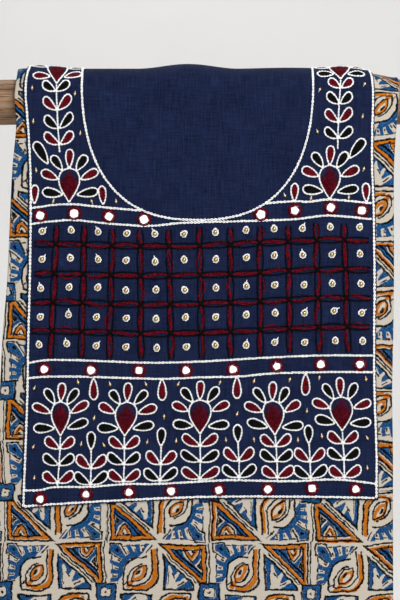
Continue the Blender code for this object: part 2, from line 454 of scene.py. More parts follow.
class Block:
    """One colour's impression of the printing block, in its own slightly moved place."""

    def __init__(self, finish, where, slip):
        self.finish = finish
        from_star = finish.moved(finish.moved(where, (-STAR_ACROSS, -STAR_DOWN, 0.0)), slip)
        across, down = finish.across_and_down(from_star)
        up = (-down).wrapped(BLOCK_HEIGHT)
        self.across = across.wrapped(BLOCK_WIDTH) * up.reckon("SIGN")
        self.up = up.size()
        self.spot = self.joined(self.across, self.up)

        # The triangles and the corner square
        self.long_side = self.beyond(HYPOTENUSE, BIG_POINT)
        self.big = meet(BIG_CORNER[0] - self.across, BIG_CORNER[1] - self.up, self.up - BIG_TOP,
                        self.long_side)
        self.small = meet(self.across - SMALL_CORNER[0], self.up - SMALL_CORNER[1], SMALL_END - self.across,
                          self.beyond((-HYPOTENUSE[0], -HYPOTENUSE[1]), SMALL_POINT))
        self.square = meet(BLOCK_WIDTH / 2 - self.across.size(), BLOCK_HEIGHT / 2 - self.up) - SQUARE_REACH
        corner = self.joined(self.across.size(), self.up)
        self.corner = finish.distance(corner, (BLOCK_WIDTH / 2, BLOCK_HEIGHT / 2, 0.0))

        # What the triangles hold
        self.arch = meet(self.round((ARCH_MIDDLE[0] - ARCH_SPLAY, ARCH_MIDDLE[1])),
                         self.round((ARCH_MIDDLE[0] + ARCH_SPLAY, ARCH_MIDDLE[1])))
        self.fingers = join(*(self.bar(*finger) for finger in FINGERS))
        self.wedge = meet(WEDGE_BACK - self.across, self.beyond((1.0, 0.9), WEDGE_POINT),
                          self.beyond((1.0, -0.9), WEDGE_POINT))

        # The drop-shaped leaf, the eye in it and the rays round it
        middle = PRINTED_LEAF["middle"]
        self.drop = self.rounded(middle, PRINTED_LEAF["half"])
        self.heart = self.rounded(INNER_LEAF["middle"], INNER_LEAF["half"])
        self.eye = self.lens(0.0)
        self.iris = self.lens(EYE["rim"])
        self.away = self.round(middle)
        angle = (self.up - middle[1]).reckon("ARCTAN2", self.across - middle[0])
        self.turn = (angle - KITE_ANGLE).size()
        self.aside = (self.turn - FIRST_RAY).wrapped(RAY_STEP).size() * self.away
        self.kite = self.turn * self.away - (self.away * 0.22 - 3.2)
        self.ray_box = meet(self.across - RAY_BOX[0], RAY_BOX[1] - self.up, self.up - CLEAR_TOP,
                            self.beyond(RAY_SLANT, (5.0, 0.0)))

    def joined(self, across, up):
        return self.finish.node("ShaderNodeCombineXYZ", {0: across, 1: up}).outputs[0]

    def beyond(self, towards, through):
        """How far beyond a straight line: towards points out across it."""
        long = hypot(*towards)
        right, up = towards[0] / long, towards[1] / long
        return self.across * right + self.up * up - (right * through[0] + up * through[1])

    def round(self, middle):
        return self.finish.distance(self.spot, (*middle, 0.0))

    def bar(self, start, end, radius, end_radius=None):
        """A round-ended stroke, as thick all along or tapering to end_radius."""
        run = (end[0] - start[0], end[1] - start[1])
        long = hypot(*run)
        along = self.beyond(run, start)
        inside = along.at_least(0.0).at_most(long)
        apart = (along - inside).root_of_squares(self.beyond((-run[1], run[0]), start)) - radius
        return apart if end_radius is None else apart - inside * ((end_radius - radius) / long)

    def ellipse(self, middle, long, wide, lean):
        """An ellipse whose long way leans by an angle in degrees."""
        cosine, sine = cos(radians(lean)), sin(radians(lean))
        along = self.beyond((cosine, sine), middle) * (1.0 / long)
        aside = self.beyond((-sine, cosine), middle) * (1.0 / wide)
        return (along.root_of_squares(aside) - 1.0) * wide

    def rounded(self, middle, half):
        """A leaf: a box with two opposite corners well rounded and two nearly sharp."""
        across, up = self.across - middle[0], self.up - middle[1]
        leans = (across * up).reckon("GREATER_THAN", 0.0)
        corner = leans * (PRINTED_LEAF["sharp"] - PRINTED_LEAF["round"]) + PRINTED_LEAF["round"]
        across = across.size() - half[0] + corner
        up = up.size() - half[1] + corner
        inside = across.at_least(up).at_most(0.0)
        return inside + across.at_least(0.0).root_of_squares(up.at_least(0.0)) - corner

    def lens(self, inset):
        """The eye: where two rounds overlap."""
        long, wide = EYE["half_length"], EYE["half_width"]
        radius = (long * long + wide * wide) / (2.0 * wide)
        right = (radius - wide) * sin(radians(EYE["lean"]))
        up = (radius - wide) * cos(radians(EYE["lean"]))
        across, middle_up = EYE["middle"]
        return meet(self.round((across + right, middle_up - up)),
                    self.round((across - right, middle_up + up))) - (radius - inset)


def stroke(field, width, *within):
    """A black line along the field's zero, within other shapes; its width is a share of the usual."""
    return meet(line(field, STROKE * width), *within)


def blue_shapes(block):
    inside = meet(block.big + 4.2, 17.8 - block.arch, -block.wedge)
    small = meet(block.small + 0.9, -block.fingers)
    ring = between(block.drop, 0.3, 5.6)
    rays = join(ring, meet(block.aside - 1.95, (RAYS_FROM - block.turn) * 20.0), block.kite)
    rays = meet(rays, 0.3 - block.drop, block.ray_box)
    hole = meet(block.square + 4.3, block.corner - 5.9)
    return join(meet(join(inside, small, rays), 1.4 - block.square), meet(block.square, -hole))


def orange_shapes(block):
    border = between(block.big, -3.9, 0.0)
    arch = meet(between(block.arch, 12.2, 15.6), block.big + 0.6)
    stem = meet(between(block.across, 0.9, 5.3), between(block.up, 8.5, 38.0))
    curve = meet(between(block.drop, -4.4, -0.1), 34.0 - block.up, block.beyond((1.0, -0.3), (24.0, 46.0)))
    eye = meet(block.eye + 0.3, -block.iris)
    tail = block.bar((24.5, 42.0), (27.5, 46.0), 2.4)
    return join(border, arch, stem, curve, eye, tail)


def black_shapes(block):
    across, up, away = block.across, block.up, block.away
    triangles = join(
        stroke(block.big - 0.2, 1.0),
        stroke(block.big + 4.2, 0.75),
        stroke(block.long_side + 7.6, 1.1, block.big + 4.0, 18.6 - block.arch),
        stroke(block.small + 0.4, 1.05),
        stroke(block.long_side - 2.9, 0.75, across + 8.0, up - CLEAR_TOP),
        stroke(block.arch - 16.3, 0.9, block.big + 2.0),
        stroke(block.arch - 12.6, 0.6, block.big + 2.0, 8.0 - up),
        block.round((-35.0, 8.0)) - 1.5,
        stroke(block.wedge + 1.9, 1.1),
        block.bar((-9.4, 29.0), (-9.6, 42.0), 0.45),
        block.bar((-13.2, 31.0), (-16.0, 35.0), 0.65),
        block.bar((-20.0, 43.2), (-25.6, 40.0), 0.7),
        stroke(across + 50.9, 0.85, up - CLEAR_TOP),
    )
    leaf = join(
        stroke(block.drop, 1.05, join(11.0 - across, 21.0 - up)),
        stroke(across - 0.6, 0.9, between(up, 7.5, 24.0)),
        stroke(across - 6.2, 0.85, between(up, 8.0, 34.0)),
        block.bar((5.2, 4.0), (11.5, 11.5), STROKE * 0.75),
        stroke(block.heart, 0.95, join(14.5 - across, 30.0 - up)),
        stroke(block.eye + 0.2, 0.9),
        block.ellipse((19.2, 31.4), 3.2, 1.5, EYE["lean"]),
        block.bar((29.6, 40.6), (33.8, 44.6), STROKE * 0.7),
    )
    dashes = join(
        stroke(block.aside - away * (RAY_STEP / 2), 0.7, between(away, 23.5, 27.0), 2.0 - block.kite),
        stroke(block.ray_box + 0.9, 0.7, 2.4 - block.aside, 1.0 - block.kite,
               block.beyond(RAY_SLANT, (9.0, 0.0)), up - 36.0),
        stroke(block.kite - 1.5, 0.8, between(away, 24.0, 42.0)),
        stroke(block.ray_box - 1.4, 0.8, block.kite - 3.0),
        meet(block.kite + 3.0, line(away - 34.0, 2.0)),
    )
    rays = meet(dashes, block.ray_box - 2.4, 4.0 - block.drop)
    square = join(stroke(block.square - 0.1, 0.9), block.corner - 1.2,
                  stroke(meet(block.square + 4.6, block.corner - 5.6), 0.6))
    return join(meet(join(triangles, leaf, rays), 0.8 - block.square), square)


def kalamkari_finish():
    finish = Finish("kalamkari_block_print")
    where = finish.cloth_place()

    # The hand's unevenness: each block and colour sits a little off, and the lines waver
    to_cell = finish.moved(where, (-STAR_ACROSS + BLOCK_WIDTH / 2, -STAR_DOWN + BLOCK_HEIGHT / 2, 0.0))
    to_cell = finish.scaled(to_cell, (1.0 / BLOCK_WIDTH, 1.0 / BLOCK_HEIGHT, 0.0))
    cell = finish.vector("FLOOR", to_cell, (0.0,) * 3)[0]

    def shift(chance, reach):
        """A random colour as a move across and down, by up to half the reach each way."""
        return finish.scaled(finish.moved(chance, (-0.5,) * 3), (reach, reach, 0.0))

    def slip(reach, seed):
        chance = finish.node("ShaderNodeTexWhiteNoise", {"Vector": finish.moved(cell, (seed, 0.0, 0.0))},
                             noise_dimensions="2D").outputs["Color"]
        return shift(chance, 2.0 * reach)

    wavered = finish.moved(where, slip(1.0, 0.3))
    for scale, detail, reach in ((0.022, 1.0, 9.0), (0.13, 2.0, 3.4)):
        wavered = finish.moved(wavered, shift(finish.noise(where, scale, detail, colour=True), reach))

    rough = finish.noise(where, 0.85, 3.0, 0.65) - 0.5
    breaks = finish.noise(where, 0.24, 2.0, 0.55) - 0.5
    blue = cover(blue_shapes(Block(finish, wavered, slip(1.0, 7.3))) + rough * 2.6 - 0.2, 0.5)
    orange = cover(orange_shapes(Block(finish, wavered, slip(1.8, 13.3))) + rough * 2.2, 0.5)
    black = cover(black_shapes(Block(finish, wavered, slip(0.4, 21.3))) + rough * 1.8 + breaks * 2.0, 0.4)

    # The dyes: thin where the cloth's grain stands up, and darker in patches
    ink = finish.noise(where, 0.20, 4.0, 0.6)
    grain = finish.noise(finish.scaled(where, (1.0, 0.35, 0.0)), 1.3, 2.0, 0.6)
    thin = (grain * 1.5 + 0.30).clamped()
    deep = (ink * 2.4 - 0.7).clamped()
    tone = finish.mix(grain, tuple(value * 0.78 for value in GROUND), tuple(value * 1.14 for value in GROUND))
    for share, colour in ((blue * thin, finish.mix(deep, BLUE, DEEP_BLUE)),
                          (orange * thin, finish.mix(deep, ORANGE, DEEP_ORANGE)),
                          (blue * orange, OVERPRINT), (black * thin, BLACK)):
        tone = finish.mix(share, tone, colour)
    over = finish.weave(where, WEAVE_PITCH)
    shade = over * 0.18 + 0.86
    grey = finish.node("ShaderNodeCombineColor", {0: shade, 1: shade, 2: shade}).outputs[0]
    finish.set(Base_Color=finish.mix(1.0, tone, grey, "MULTIPLY"), Roughness=0.92, Specular_IOR_Level=0.03,
               Normal=finish.bump(over * 0.5 + grain * 0.9, 0.0004, 0.7))
    return finish.material


# --- The other materials ---
def navy_finish():
    finish = Finish("navy_slub_cotton")
    where = finish.cloth_place()
    down_slub = finish.noise(finish.scaled(where, (1.0, 0.06, 0.0)), 0.75, 3.0, 0.6)
    side_slub = finish.noise(finish.scaled(where, (0.06, 1.0, 0.0)), 0.85, 3.0, 0.6)
    cloud = finish.noise(where, 0.03)
    thread = finish.noise(where, 1.1, 2.0, 0.7)
    over = finish.weave(where, 0.55)
    mottle = (down_slub * 0.9 + side_slub * 0.8 + cloud * 0.4 + thread * 0.7) * 0.36
    tone = finish.mix((mottle * 4.6 - 1.85).clamped(), (0.0030, 0.0057, 0.0222), (0.0137, 0.0226, 0.0655))
    chalk = (finish.noise(where, 0.09, 2.0, 0.6) * 3.0 - 1.75).clamped() * (thread * 1.4 - 0.35)
    tone = finish.mix(chalk.clamped(), tone, (0.016, 0.050, 0.130))
    tone = finish.mix(over, tone, finish.mix(1.0, tone, (0.70, 0.70, 0.78), "MULTIPLY"))
    height = over * 0.5 + down_slub * 0.9 + side_slub * 0.7 + thread * 0.4
    finish.set(Base_Color=tone, Roughness=0.90, Sheen_Weight=0.03, Sheen_Roughness=0.4,
               Specular_IOR_Level=0.06, Normal=finish.bump(height, 0.0004, 0.6))
    return finish.material


def thread_finish(name, dark, light, gloss, mottle):
    """Twisted cotton thread: fine slanting plies, a slow change of tone and, where it is dense, a mottle."""
    finish = Finish(name)
    where = finish.object_place()
    ply = finish.noise(finish.scaled(where, (1.6, 1.6, 0.8)), 1.5, 2.0, 0.6)
    blot = finish.noise(where, 0.50, 2.0, 0.6)
    slow = finish.noise(where, 0.12)
    shade = (ply * 0.7 + slow * 0.6 + (blot - 0.5) * mottle - 0.15).clamped()
    finish.set(Base_Color=finish.mix(shade, dark, light), Roughness=0.7, Specular_IOR_Level=gloss,
               Normal=finish.bump(ply, 0.0002, 0.6))
    return finish.material


def clouded_finish(name, scale, detail, dark, light, roughness, rougher=0.0, **settings):
    """A plain material with clouds in its colour and, where rougher is given, in its roughness."""
    finish = Finish(name)
    cloud = finish.noise(finish.object_place(), scale, detail)
    finish.set(Base_Color=finish.mix(cloud, dark, light), **settings,
               Roughness=cloud * rougher + roughness if rougher else roughness)
    return finish.material


def mirror_finish():
    finish = Finish("small_mirror_glass")
    where = finish.object_place()
    smear = finish.noise(where, 0.25, 3.0, 0.6)
    spots = finish.noise(where, 1.4, 2.0, 0.7)
    finish.set(Base_Color=finish.mix(smear, (0.80, 0.81, 0.82), (0.97, 0.97, 0.96)), Metallic=1.0,
               Roughness=spots * 0.16 + 0.02, Coat_Weight=0.5, Coat_Roughness=0.03,
               Normal=finish.bump(smear, 0.0006, 0.5))
    return finish.material


def wood_finish():
    finish = Finish("weathered_bar_wood")
    where = finish.object_place()

    def along_bar(factors, scale, detail, roughness):
        return finish.noise(finish.scaled(where, factors), scale, detail, roughness)

    grain = along_bar((0.05, 1.0, 1.0), 0.9, 5.0, 0.65)
    streak = along_bar((0.02, 0.55, 0.55), 0.5, 3.0, 0.6)
    patch = along_bar((0.5, 1.0, 1.0), 0.045, 3.0, 0.6)
    fibre = along_bar((0.08, 2.6, 2.6), 1.2, 2.0, 0.6)
    cracks = cover(line(along_bar((0.018, 0.8, 0.8), 0.42, 2.0, 0.5) - 0.5, 0.012), 0.012)
    tone = finish.mix((grain * 1.6 - 0.3).clamped(), (0.115, 0.054, 0.024), (0.420, 0.230, 0.115))
    grey = finish.mix(fibre, (0.20, 0.14, 0.10), (0.46, 0.34, 0.24))
    tone = finish.mix((streak * 2.2 - 0.75).clamped(), tone, grey)
    tone = finish.mix((patch * 3.4 - 1.75).clamped(), tone, (0.075, 0.042, 0.024))
    tone = finish.mix(cracks * 0.8, tone, (0.030, 0.018, 0.012))
    relief = grain * 0.6 + fibre * 0.5 - cracks * 1.4
    finish.set(Base_Color=tone, Roughness=grain * 0.25 + 0.58, Specular_IOR_Level=0.3,
               Normal=finish.bump(relief, 0.0012, 0.8))
    return finish.material


# --- Mesh building ---
def linked(name, data):
    """A new object in the scene."""
    made = bpy.data.objects.new(name, data)
    bpy.context.scene.collection.objects.link(made)
    return made


def mesh_object(name, points, faces, finish):
    mesh = bpy.data.meshes.new(name)
    mesh.from_pydata([tuple(point) for point in points], [], faces)
    mesh.validate()
    mesh.shade_smooth()
    mesh.materials.append(finish)
    return linked(name, mesh)


def grid_faces(rows, width):
    """The faces between a grid's rows of points."""
    return [(here, here + 1, here + width + 1, here + width)
            for row in range(rows - 1) for here in range(row * width, row * width + width - 1)]


def swung(right, upward, angle):
    return right * cos(angle) + upward * sin(angle)


class Yarn:
    """Many small closed tubes and balls gathered into one mesh."""

    SIDES = 4

    def __init__(self):
        self.points, self.faces = [], []

    def tube(self, path, outward, radii, closed=False):
        """A tube along points, flattest side out; outward is one direction for the whole tube."""
        start, count, sides = len(self.points), len(path), self.SIDES
        for index, point in enumerate(path):
            before = path[index - 1] if index or closed else point
            after = path[(index + 1) % count] if index < count - 1 or closed else point
            along = (after - before).normalized()
            aside = along.cross(outward)
            if aside.length < 1e-6:
                aside = along.orthogonal()
            aside.normalize()
            over = aside.cross(along)
            for side in range(sides):
                self.points.append(point + swung(aside, over, 2.0 * pi * (side + 0.5) / sides) * radii[index])
        for ring in range(count if closed else count - 1):
            here, there = start + ring * sides, start + (ring + 1) % count * sides
            for side in range(sides):
                other = (side + 1) % sides
                self.faces.append((here + side, here + other, there + other, there + side))
        if not closed:
            end = len(self.points)
            self.faces.append(tuple(range(start + sides - 1, start - 1, -1)))
            self.faces.append(tuple(range(end - sides, end)))

    def ball(self, middle, outward, radius, rings, around, squash):
        """A bead: rings of points between two poles."""
        start = len(self.points)
        aside = outward.orthogonal().normalized()
        over = outward.cross(aside)
        self.points.append(middle - outward * radius * squash)
        for ring in range(1, rings):
            lift, wide = -cos(pi * ring / rings) * squash, sin(pi * ring / rings)
            for step in range(around):
                spread = swung(aside, over, 2.0 * pi * step / around)
                self.points.append(middle + outward * lift * radius + spread * wide * radius)
        top = len(self.points)
        self.points.append(middle + outward * radius * squash)
        for step in range(around):
            after = (step + 1) % around
            self.faces.append((start, start + 1 + after, start + 1 + step))
            for low in range(start + 1, top - around, around):
                high = low + around
                self.faces.append((low + step, low + after, high + after, high + step))
            self.faces.append((top - around + step, top - around + after, top))

    def made(self, name, finish):
        piece = mesh_object(name, self.points, self.faces, finish)
        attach(piece, "root")
        return piece


# Chain stitch: (pitch, width), in metres
CHAINS = {"cream_border": (0.0036, 0.0026), "cream_motif": (0.0030, 0.0019), "bead_loops": (0.0023, 0.0021)}
STRAND_SHARE = 0.22          # a strand's radius as a share of its chain's width
WANDER = 0.00018             # how far a stitch's end strays to either side
# One chain stitch, from its tail round its loop:
# (along in pitches, aside in chain widths, lift in strands, radius in strands)
LINK_LOOP = (
    (-0.55, 0.00, 0.30, 0.45),
    (-0.32, 0.13, 0.75, 0.85),
    (-0.02, 0.27, 1.10, 1.10),
    (0.28, 0.22, 1.25, 1.00),
    (0.52, 0.00, 1.00, 0.60),
    (0.28, -0.22, 1.25, 1.00),
    (-0.02, -0.27, 1.10, 1.10),
    (-0.32, -0.13, 0.75, 0.85),
)


def resampled(route, pitch, closed):
    """Points (across, down) evenly spaced along a polyline, with the last one kept."""
    if closed:
        route = [*route, route[0]]
    lengths = [hypot(b[0] - a[0], b[1] - a[1]) for a, b in zip(route, route[1:])]
    total = sum(lengths)
    count = max(round(total / pitch), 2)
    places, index, passed = [], 0, 0.0
    for step in range(count if closed else count + 1):
        reach = total * step / count
        while index < len(lengths) - 1 and passed + lengths[index] < reach:
            passed += lengths[index]
            index += 1
        share = (reach - passed) / lengths[index] if lengths[index] else 0.0
        places.append(tuple(a + share * (b - a) for a, b in zip(route[index], route[index + 1])))
    return places


def smoothed(route, steps=6):
    """A smooth curve through a few points (across, down)."""
    curve = []
    padded = [route[0], *route, route[-1]]
    for index in range(len(route) - 1):
        for step in range(steps):
            t = step / steps
            curve.append(tuple(
                b + 0.5 * t * ((c - a) + (2 * a - 5 * b + 4 * c - d) * t + (3 * b - a - 3 * c + d) * t * t)
                for a, b, c, d in zip(*padded[index:index + 4])))
    return [*curve, route[-1]]


def metres(route):
    return [(across * MM, down * MM) for across, down in route]


def aligned(start, end):
    """The distance between two places, and a way to a place at a reach from start and some way aside."""
    right, down = end[0] - start[0], end[1] - start[1]
    long = hypot(right, down)

    def at(reach, aside):
        return ((start[0] + (right * reach - down * aside) / long) * MM,
                (start[1] + (down * reach + right * aside) / long) * MM)

    return long, at


# --- The embroidery's layout, in millimetres: across to the right, down from the crest ---
SIDE_BORDERS = {"panel_left": 2.7 * MM, "panel_right": -2.2 * MM}
# Chain stitch along the hems: (hem, from, to, inset), in metres
HEM_BORDERS = (("panel_hem", -0.1765, 0.1750, -2.4 * MM), ("panel_back_hem", -0.171, 0.173, 4.0 * MM))
NECK = {"middle": -2.5, "half_width": 116.0, "power": 2.5, "straight_to": 30.0, "depth": 175.4,
        "back_depth": 62.0}
LINES = {
    "upper_band_top_left": ((-171, 164), (-151, 161), (-131, 159.6), (-108, 161.5), (-92, 163.3), (-59, 166)),
    "upper_band_top_right": ((65, 158.8), (94, 156.6), (108, 157.3), (125, 155), (140, 155.6), (172, 158.6)),
    "upper_band_foot": (
        (-171, 179.6), (-150, 177), (-126, 175.5), (-101, 178.2), (-66, 181), (-44, 181.2), (-16, 178.3),
        (45, 176.6), (90, 175), (108, 173.2), (125, 171), (145, 172), (172, 174.6)),
    "middle_band_top": (
        (-172, 318.6), (-149, 315.6), (-104, 316.6), (-53, 318.4), (0, 317.2), (60, 313.8), (100, 311.8),
        (130, 311), (173, 311.3)),
    "middle_band_foot": (
        (-172, 333.8), (-146, 332.1), (-98, 332.9), (-41, 334.6), (0, 333), (40, 332.2), (76, 329),
        (140, 327.6), (173, 328)),
    "lower_band_top": (
        (-176, 446.2), (-160, 446), (-145, 442.8), (-111, 442.6), (-72, 439.6), (-47, 440), (0, 437.6),
        (32, 436), (89, 437), (128, 435.3), (150, 436.3), (177, 440)),
}

# A lotus stands on its tip, with its heart 22.8 wide: (from right, from up, to right, to up, width, colour)
HEART = {"tall": 36.2, "wide": 22.8}
PETALS = (
    (-0.2, 34.8, 0.7, 55.4, 9.6, "maroon"),
    (-6.7, 32.7, -17.7, 48.0, 10.2, "black"),
    (6.9, 32.3, 17.6, 48.4, 10.4, "black"),
    (-11.0, 23.9, -28.8, 32.2, 10.6, "maroon"),
    (11.3, 23.7, 30.0, 32.8, 10.6, "maroon"),
    (-6.4, 8.6, -27.9, 11.8, 11.2, "black"),
    (7.4, 8.2, 29.6, 12.2, 10.6, "black"),
)
OTHER_COLOUR = {"maroon": "black", "black": "maroon"}
UNTURNED = (0,) * len(PETALS)
# Each lotus of the row: it leans right by a share of its height, its leaves reach out by a share of the
# usual, and each petal turns about its base by some degrees to the left:
# (tip, foot, width, lean, reach, turns)
LOTUSES = (
    ((-139.8, 392.6), (-142.8, 441.6), 20.4, 0.01, 0.97, (-2, -6, 2, 0, 8, 9, 12)),
    ((-75.8, 392.8), (-76.7, 439.8), 23.4, 0.08, 1.0, (3, 2, -8, -2, -7, 5, 2)),
    ((0.0, 390.6), (-0.4, 437.4), 24.0, 0.0, 1.2, (-1, 4, -3, 1, -1, 1, -3)),
    ((75.2, 391.6), (77.5, 435.8), 22.6, -0.077, 1.0, (-4, 1, 3, 0, 6, -8, -3)),
    ((142.5, 387.6), (144.6, 435.8), 24.2, -0.043, 1.0, (4, -1, 6, 2, -6, -7, -6)),
)
# Leaf pairs on a stem: (share of the stem down, left, up, right, up, colour), from where they meet
LOTUS_LEAVES = (
    (0.24, -15.1, 11.8, 15.1, 12.0, "maroon"),
    (0.575, -16.4, 11.0, 16.2, 11.0, "black"),
    (0.94, -15.3, 10.9, 16.8, 11.3, "maroon"),
)
# Each sprig stands on the line below the row and leans right by a share of its height: (foot, lean)
SPRIGS = (((-109.8, 442.8), 0.02), ((-40.4, 439.2), 0.035), ((39.2, 435.8), -0.03), ((110.6, 436.4), -0.04))
BUD = {"from": 37.0, "to": 56.2, "wide": 10.2}
# A sprig's leaf pairs: (up, left, up, right, up, colour), the last two heights from where they meet
SPRIG_LEAVES = ((18.7, -14.1, 13.5, 15.2, 13.7, "maroon"), (2.7, -16.3, 11.8, 17.3, 13.0, "black"))
LEAF = {"wide": 10.8, "shoulder_wide": 10.2, "belly": 1.5}
DROPS = ((-106.5, 333.4), (-38, 334), (37, 332), (106, 328.8))
DROP = {"long": 23.0, "wide": 10.0, "shoulder_wide": 9.2}
SLANT_WIDE = 11.4
# Each shoulder: the lotus over its band, drops beside it, a slanting leaf, and the stem with its leaf pairs
SHOULDERS = {
    "left": {
        "lotus": (-131, 158.6), "crest_lotus": (-143.8, 38.8), "stem_foot": (-140.5, 107.7),
        "drops": (((-166, 159.5), (-165.2, 139.5)), ((-96.8, 160.5), (-98.5, 140.5))),
        "slant": ((-152.0, 119.5), (-166.0, 96.5)),
        "leaves": (
            ((-144.4, 46.2), (-157.5, 35.3), (-131.2, 33.2), "black"),
            ((-142.9, 65.6), (-156.6, 51.7), (-129.8, 48.8), "maroon"),
            ((-141.2, 84.0), (-155.6, 70.8), (-128.0, 67.2), "black"),
            ((-140.2, 100.0), (-156.2, 87.8), (-127.5, 86.0), "maroon"),
        ),
        "crest_shape": {"swap": True, "squat": 1.08, "wide": 22.0, "reach": 0.86,
                        "turns": (0, 0, 0, 0, 0, 4, 12)},
    },
    "right": {
        "lotus": (130, 155.6), "crest_lotus": (141.0, 33.2), "stem_foot": (137.8, 104.4),
        "drops": (((94.3, 157.4), (95, 138.0)), ((166.8, 158.0), (165.8, 137.4))),
        "slant": ((149.5, 113.8), (165.2, 93.4)),
        "leaves": (
            ((141.2, 42.8), (129.4, 31.0), (152.6, 31.2), "maroon"),
            ((140.0, 59.4), (127.4, 46.8), (151.4, 47.0), "black"),
            ((139.0, 77.6), (125.6, 64.2), (151.6, 62.6), "maroon"),
            ((138.4, 93.6), (124.8, 82.6), (152.6, 81.8), "black"),
        ),
        "crest_shape": {"swap": False, "squat": 0.90, "wide": 22.0, "reach": 0.82},
    },
}
# The lattice's columns: (across at the top row, across at the foot row, sag, top, foot); it sags and falls
# to the right, so each crossing lies at its row's length down plus its column's sag
GRID_COLUMNS = (
    (-144.4, -148.4, 0.0, 180.6, 314.6),
    (-116.2, -118.2, 0.4, 180.6, 313.8),
    (-88.1, -90.2, 1.6, 184.0, 314.6),
    (-59.6, -59.1, 2.4, 185.4, 314.8),
    (-30.9, -29.2, 2.2, 184.8, 315.4),
    (-0.2, 1.3, 1.6, 182.2, 314.4),
    (30.5, 30.7, 0.7, 182.8, 312.8),
    (60.0, 60.5, -1.0, 181.8, 311.6),
    (88.7, 89.6, -2.7, 181.0, 309.6),
    (116.8, 119.0, -4.0, 178.2, 308.8),
    (144.7, 147.8, -4.4, 179.0, 308.6),
)
# The lattice's rows: (down, left end, right end)
GRID_ROWS = ((199.5, -166.5, 169.3), (229.1, -166.5, 171.4), (257.8, -168.8, 171.4), (286.8, -169.2, 170.2))
GRID_ROW_PITCH = 29.2
# The ringed beads' columns: (across in the top row, across in the foot row, sag)
BEAD_COLUMNS = (
    (-157.9, -161.6, 0.0), (-128.6, -133.4, -1.2), (-101.5, -104.1, 0.5), (-73.5, -74.6, 2.4),
    (-45.2, -43.4, 2.6), (-16.0, -14.4, 1.6), (15.5, 15.5, 0.4), (45.9, 46.2, -0.8),
    (74.4, 75.0, -2.5), (102.5, 104.8, -3.4), (130.4, 135.0, -4.9), (159.6, 162.9, -4.0),
)
BEAD_ROWS = (187.3, 214.4, 243.3, 272.0, 301.2)
SEED_BEADS = (
    (-168, 43.2), (-125.2, 48.9), (-167, 77), (-120, 89), (-164, 126), (-147, 157), (-108.5, 156.6),
    (-84, 157), (120, 44.3), (165, 37.4), (162.6, 72), (117.6, 87), (164, 124), (85, 151), (111, 154),
    (149, 153), (-166, 344), (-122, 338), (-90, 340), (-54, 340), (-22, 340), (-106, 374), (-36, 372),
    (-167, 403), (-119, 400), (-96, 401), (-53, 398), (-24, 397), (20, 338), (54, 337), (90, 335),
    (119.5, 333), (166, 335), (37, 370), (107, 367), (26, 396), (54, 395), (98, 396), (122, 392),
    (167.5, 394), (-166, 434), (167.5, 424),
)
MIRRORS_PER_BAND = 8
# The stitched ring of a mirror in each band: (outer radius, radius of its opening)
RINGS = {"upper": (7.0, 4.1), "middle": (6.7, 3.75), "lower": (6.7, 3.75)}
RING_STITCHES, PURL_STEPS = 44, 30
OUTLINE_INSET = 0.9          # from a motif's edge to the middle of its outline
FILL_INSET = 1.45            # from its edge to the outermost thread of its filling
PETAL_STEPS, HEART_STEPS = 12, 16
FILL_PITCH = 0.56
HEART_UPRIGHTS, HEART_SPIKES = 17, 12
# Threads of the fillings: (radius, lift)
FILL_THREAD, HEART_THREAD, SPIKE_THREAD = (0.40, 0.30), (0.52, 0.02), (0.46, 0.60)
TUCKED_SHARE = 0.6           # a thread's radius where it is tucked in, as a share of the rest
STRANDS, STRAND_STEPS, STRAND_PITCH = 4, 13, 0.80
STRAND_RADIUS, KNOT_RADIUS, PURL_RADIUS = 0.60, 0.58, 0.55
SPLIT_CHANCE, SPLIT = 0.13, 1.2        # how often the laid strands part, and by how much
KNOT_STITCHES, KNOT_REACH = 8, 3.0
BACK_STITCH = 2.5            # the length of one, with its gap
BACK_STITCH_PARTS = (0.12, 0.5, 0.88)
BACK_STITCH_LIFTS, BACK_STITCH_RADII = (0.25, 0.75, 0.25), (0.65, 1.15, 0.65)
# A gold bead's ring of chain stitch: its radius, how far its point reaches past that, and its tail
LOOP_STEPS, LOOP_RADIUS, LOOP_POINT = 16, 2.85, 1.1
TAIL_START, LONG_TAIL, SHORT_TAIL = 3.4, 3.2, 1.2
TAIL_RADII = (0.80, 0.60, 0.35)
GOLD_BEAD = {"lift": 1.35, "radius": 2.15, "rings": 7, "around": 12, "squash": 0.75}
SEED_BEAD = {"lift": 1.10, "radius": 1.38, "rings": 6, "around": 10, "squash": 0.95}
# The silver stitch under a small bead: (along, lift, radius)
SILVER_STITCH = ((-2.2, 0.05, 0.20), (-1.5, 0.5, 0.36), (0.0, 1.1, 0.4), (1.8, 0.8, 0.58), (3.3, 0.05, 0.30))
RING_BASE = 1.35             # how far below a mirror's middle its ring stands
RING_RADII = (0.42, 0.5, 0.48, 0.36)


def petal_half_width(share):
    """A petal's half width, as a share of the widest: pointed at its base and round at its tip."""
    if share < 0.70:
        return sin(0.5 * pi * (max(share, 0.0) / 0.70) ** 0.82)
    return max(1.0 - ((share - 0.70) / 0.30) ** 2.2, 0.0) ** 0.5


def heart_half_width(share):
    """The heart's half width: pointed below and round above."""
    if share < 0.66:
        return sin(0.5 * pi * (share / 0.66) ** 1.08)
    return max(1.0 - ((share - 0.66) / 0.34) ** 2, 0.0) ** 0.5


def mirror_facing(spread):
    """The direction across a flat disc's thin way, towards the front."""
    best = Vector((0.0, -1.0, 0.0))
    size = max(sum(arm.length_squared for arm in spread) / 2, 1e-12)
    for _ in range(30):
        total = Vector((0.0, 0.0, 0.0))
        for arm in spread:
            total += arm * arm.dot(best)
        best = (best - total * (0.9 / size)).normalized()
    return best if best.y < 0 else -best


